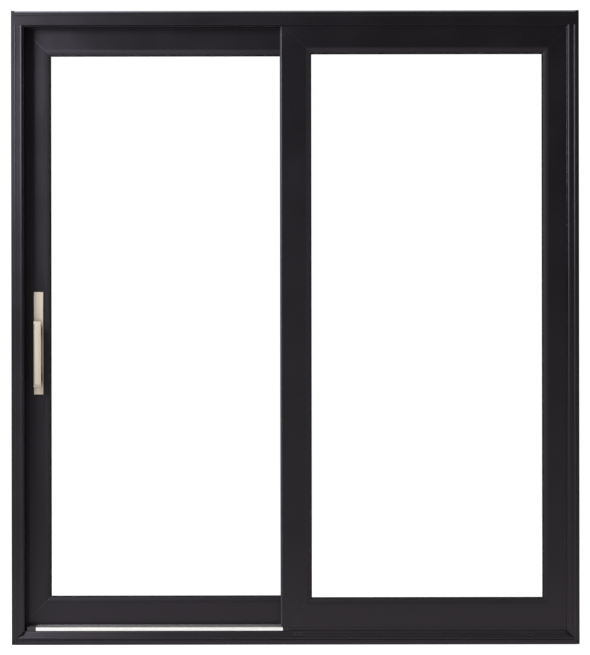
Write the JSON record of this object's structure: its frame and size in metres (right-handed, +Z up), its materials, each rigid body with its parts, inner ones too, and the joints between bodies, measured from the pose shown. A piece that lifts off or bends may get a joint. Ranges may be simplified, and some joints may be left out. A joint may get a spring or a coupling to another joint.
{
  "type": "sliding patio door",
  "caption": "Glass sliding patio door with a dark clad frame, a fixed panel in front, and a panel on rollers behind it that slides by a long pull handle.",
  "frame": {"origin": "middle of the sill's underside, at half the frame's width and depth", "axes": "+X to the right seen from outside, +Y into the room, +Z up"},
  "size_m": [1.8098, 0.1495, 2.021],
  "materials": {
    "black_cladding": "satin",
    "black_frame": "satin",
    "black_plastic": "matte",
    "satin_nickel": "satin",
    "bright_track": "brushed",
    "roller_steel": "satin",
    "grey_seal": "matte",
    "glass_spacer": "matte",
    "clear_glass": "clear"
  },
  "bodies": {
    "frame": {"left_jamb_cladding": "black_cladding", "right_jamb_cladding": "black_cladding", "left_jamb_board": "black_frame", "right_jamb_board": "black_frame", "left_jamb_liner": "black_frame", "right_jamb_liner": "black_frame", "left_room_stop": "black_frame", "right_room_stop": "black_frame", "head_cladding": "black_cladding", "head_flashing": "bright_track", "head_board": "black_frame", "head_lip_core": "black_frame", "head_liner": "black_frame", "head_guide_rib": "black_frame", "head_room_stop": "black_frame", "sill_nosing": "black_cladding", "sill_ramp": "black_cladding", "sill_weep_covers": "black_plastic", "sill_core": "black_frame", "sill_deck": "black_cladding", "sill_end_blocks": "black_plastic", "sill_track_cover": "bright_track", "roller_track": "bright_track", "room_threshold": "black_frame", "fixed_riser": "black_cladding", "fixed_interlock": "grey_seal", "lock_keeper": "satin_nickel", "fixed_meeting_stile": "black_cladding", "fixed_jamb_stile": "black_cladding", "fixed_top_rail": "black_cladding", "fixed_bottom_rail": "black_cladding", "fixed_glass": "clear_glass", "fixed_glass_spacer": "glass_spacer", "fixed_inside_beads": "black_frame"},
    "sliding_panel": {"sliding_lock_stile": "black_cladding", "sliding_meeting_stile": "black_cladding", "sliding_top_rail": "black_cladding", "sliding_bottom_rail": "black_cladding", "sliding_glass": "clear_glass", "sliding_glass_spacer": "glass_spacer", "sliding_inside_beads": "black_frame", "lock_faceplate": "satin_nickel", "roller_housings": "roller_steel", "roller_wheels": "black_plastic", "outside_handle_plate": "satin_nickel", "inside_handle_plate": "satin_nickel", "outside_pull": "satin_nickel", "inside_pull": "satin_nickel"}
  },
  "joints": [
    {"name": "panel_slide", "type": "slide", "parent": "frame", "child": "sliding_panel", "axis": [1, 0, 0], "range_m": [0, 0.72]}
  ]
}
